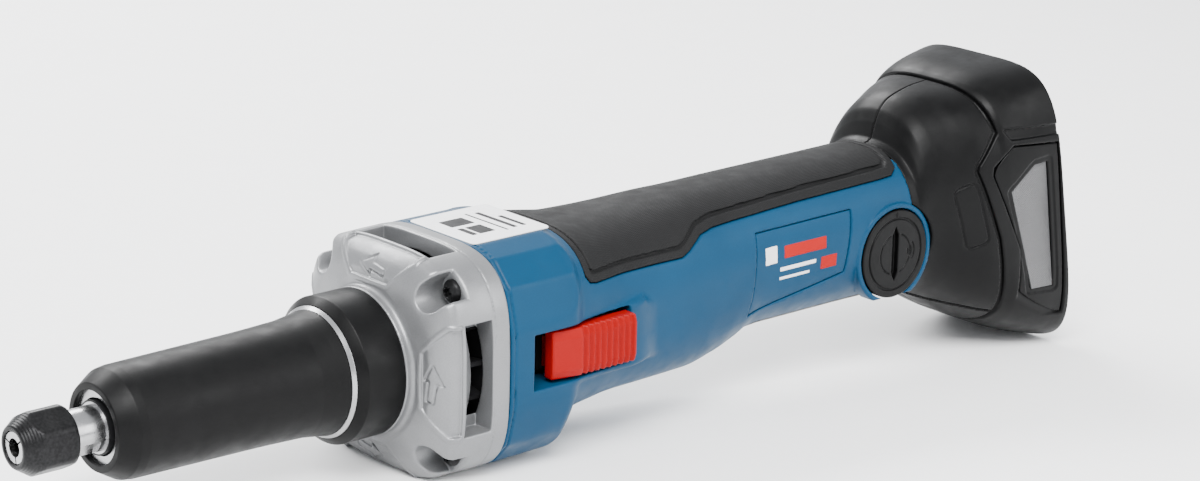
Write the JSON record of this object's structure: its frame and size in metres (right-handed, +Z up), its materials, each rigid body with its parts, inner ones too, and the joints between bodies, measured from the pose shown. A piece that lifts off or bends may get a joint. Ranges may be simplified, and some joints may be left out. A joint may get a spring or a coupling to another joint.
{
  "type": "die grinder",
  "caption": "Cordless die grinder with a slim extended neck, collet chuck, slide switch, rubber grip, dust filters and a rear battery interface.",
  "frame": {"origin": "spindle axis at the front face of the collet nut, inside the collet's bore mouth", "axes": "+X from the collet along the spindle axis to the battery side, +Z up, -Y the side with the slide switch"},
  "size_m": [0.4528, 0.0786, 0.1118],
  "materials": {
    "black_steel": "black oxide",
    "bright_steel": "ground satin",
    "bearing_steel": "polished",
    "electrical_steel": "varnished laminations",
    "magnet": "plated",
    "copper": "enamelled",
    "cast_aluminium": "fine blasted casting",
    "sleeve_rubber": "fine grain",
    "collar_plastic": "fine grain",
    "fan_plastic": "glass filled",
    "blue_plastic": "fine spark-eroded grain",
    "grip_rubber": "fine diagonal knurl",
    "label_foil": "blank foil label",
    "black_plastic": "fine grain",
    "red_plastic": "semi-gloss",
    "rod_plastic": "smooth",
    "board": "solder mask",
    "wire": "silicone insulation",
    "filter_mesh": "fine woven wire",
    "terminal_plastic": "smooth",
    "contact_brass": "plated"
  },
  "bodies": {
    "housing": {"flange_screws": "black_steel", "housing_screws": "black_steel", "neck_tube": "bright_steel", "front_bearing_outer": "bearing_steel", "mid_bearing_outer": "bearing_steel", "rear_bearing_outer": "bearing_steel", "stator_core": "electrical_steel", "stator_windings": "copper", "flange_casting": "cast_aluminium", "neck_sleeve": "sleeve_rubber", "cover_seal": "sleeve_rubber", "clamp_collar": "collar_plastic", "motor_carrier": "fan_plastic", "motor_housing": "blue_plastic", "side_label": "blue_plastic", "grip_overmould": "grip_rubber", "top_label": "label_foil", "lower_trim": "black_plastic", "module_holder": "black_plastic", "rear_shell_left": "black_plastic", "rear_shell_right": "black_plastic", "rear_frame": "black_plastic", "rear_plate": "black_plastic", "battery_rails": "black_plastic", "radio_module": "black_plastic", "switch_module": "black_plastic", "control_tray": "black_plastic", "control_board": "board", "motor_wires": "wire", "battery_wires": "wire", "terminal_block": "terminal_plastic", "battery_contacts": "contact_brass"},
    "collet_nut": {"collet_nut": "black_steel"},
    "collet": {"collet": "bright_steel"},
    "rotor": {"spindle": "bright_steel", "labyrinth_ring": "sleeve_rubber", "front_bearing_inner": "bearing_steel", "mid_bearing_inner": "bearing_steel", "rear_bearing_inner": "bearing_steel", "bearing_balls": "bearing_steel", "fan": "fan_plastic", "motor_shaft": "bright_steel", "rotor_core": "electrical_steel", "rotor_magnets": "magnet"},
    "slide_switch": {"slide_button": "red_plastic", "switch_rod": "rod_plastic"},
    "module_cover": {"module_cover": "black_plastic"},
    "filter_left": {"filter_frame_left": "black_plastic", "filter_mesh_left": "filter_mesh"},
    "filter_right": {"filter_frame_right": "black_plastic", "filter_mesh_right": "filter_mesh"}
  },
  "joints": [
    {"name": "spindle_spin", "type": "hinge", "parent": "housing", "child": "rotor", "pos_m": [0.1, 0, 0], "axis": [1, 0, 0], "continuous": true},
    {"name": "collet_slide", "type": "slide", "parent": "rotor", "child": "collet", "axis": [-1, 0, 0], "range_m": [0, 0.009]},
    {"name": "nut_turn", "type": "hinge", "parent": "collet", "child": "collet_nut", "pos_m": [0.01, 0, 0], "axis": [-1, 0, 0], "range_deg": [0, 2160]},
    {"name": "switch_slide", "type": "slide", "parent": "housing", "child": "slide_switch", "axis": [-1, 0, 0], "range_m": [0, 0.008]},
    {"name": "cover_turn", "type": "hinge", "parent": "housing", "child": "module_cover", "pos_m": [0.357, -0.0263, 0.001], "axis": [0, -1, 0], "range_deg": [0, 45]},
    {"name": "filter_left_pull", "type": "slide", "parent": "housing", "child": "filter_left", "axis": [0, -1, 0], "range_m": [0, 0.02]},
    {"name": "filter_right_pull", "type": "slide", "parent": "housing", "child": "filter_right", "axis": [0, 1, 0], "range_m": [0, 0.02]}
  ],
  "couplings": [
    {"joint": "collet_slide", "follows": "nut_turn", "m_per_rad": 0.00023873}
  ]
}
